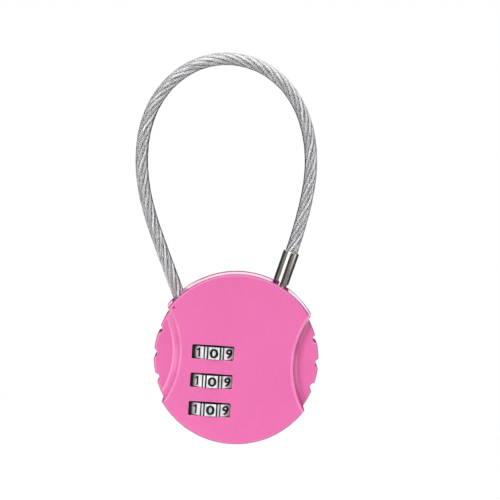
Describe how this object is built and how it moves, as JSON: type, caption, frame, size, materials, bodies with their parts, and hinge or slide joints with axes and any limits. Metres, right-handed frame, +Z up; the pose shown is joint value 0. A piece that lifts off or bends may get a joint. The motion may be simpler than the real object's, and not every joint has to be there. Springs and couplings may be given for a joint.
{
  "type": "cable luggage lock",
  "caption": "Round combination lock with numbered dials in front windows and a coated steel cable loop whose ferrule plugs into the case.",
  "frame": {"origin": "centre of the case's flat back face", "axes": "+Z up towards the cable loop, -Y out of the front face with the dials, +Y out of the flat back, +X to the right seen from the front"},
  "size_m": [0.0484, 0.0145, 0.0965],
  "materials": {
    "lacquer_front": "gloss lacquer",
    "lacquer_rear": "gloss lacquer",
    "rivet": "polished",
    "dial": "satin plated, black numerals",
    "brass": "turned",
    "frame": "stamped",
    "spring": "drawn wire",
    "zinc": "die cast",
    "nickel": "plated, bright",
    "rope": "stranded wire",
    "jacket": "clear vinyl"
  },
  "bodies": {
    "case": {"front_cover": "lacquer_front", "rear_cover": "lacquer_rear", "case_rivet_1": "rivet", "case_rivet_2": "rivet", "case_rivet_3": "rivet", "dial_frame": "frame", "detent_spring": "spring", "claw_pin": "spring", "plug_bush": "zinc", "anchor_sleeve": "nickel", "anchor_clamp": "zinc", "cable_rope": "rope", "cable_jacket": "jacket", "spindle_spring": "spring", "reset_spring": "spring"},
    "plug": {"plug": "nickel"},
    "claw": {"locking_claw": "zinc"},
    "spindle": {"spindle": "zinc"},
    "reset": {"reset_plunger": "spring"},
    "dial_1": {"dial_wheel_1": "dial", "cam_sleeve_1": "brass"},
    "dial_2": {"dial_wheel_2": "dial", "cam_sleeve_2": "brass"},
    "dial_3": {"dial_wheel_3": "dial", "cam_sleeve_3": "brass"}
  },
  "joints": [
    {"name": "dial_1_turn", "type": "hinge", "parent": "case", "child": "dial_1", "pos_m": [-0.0055, -0.0082, 0.0012], "axis": [0, 0, 1], "continuous": true},
    {"name": "dial_2_turn", "type": "hinge", "parent": "case", "child": "dial_2", "pos_m": [-0.0055, -0.0082, -0.0058], "axis": [0, 0, 1], "continuous": true},
    {"name": "dial_3_turn", "type": "hinge", "parent": "case", "child": "dial_3", "pos_m": [-0.0055, -0.0082, -0.0128], "axis": [0, 0, 1], "continuous": true},
    {"name": "plug_pull", "type": "slide", "parent": "case", "child": "plug", "axis": [0.2672, 0, 0.9636], "range_m": [0, 0.007], "deforming": ["cable_rope", "cable_jacket"]},
    {"name": "claw_swing", "type": "hinge", "parent": "case", "child": "claw", "pos_m": [0.0044, -0.007, 0.0114], "axis": [0, -1, 0], "range_deg": [0, 26.1]},
    {"name": "spindle_slide", "type": "slide", "parent": "case", "child": "spindle", "axis": [0, 0, -1], "range_m": [0, 0.0017], "deforming": ["spindle_spring"]},
    {"name": "reset_press", "type": "slide", "parent": "case", "child": "reset", "axis": [0, 1, 0], "range_m": [0, 0.0008], "stiffness_N_per_m": 120, "springref_m": -0.0004, "deforming": ["reset_spring"]}
  ],
  "couplings": [
    {"joint": "claw_swing", "follows": "plug_pull", "rad_per_m": 65},
    {"joint": "spindle_slide", "follows": "plug_pull", "ratio": 0.24}
  ]
}
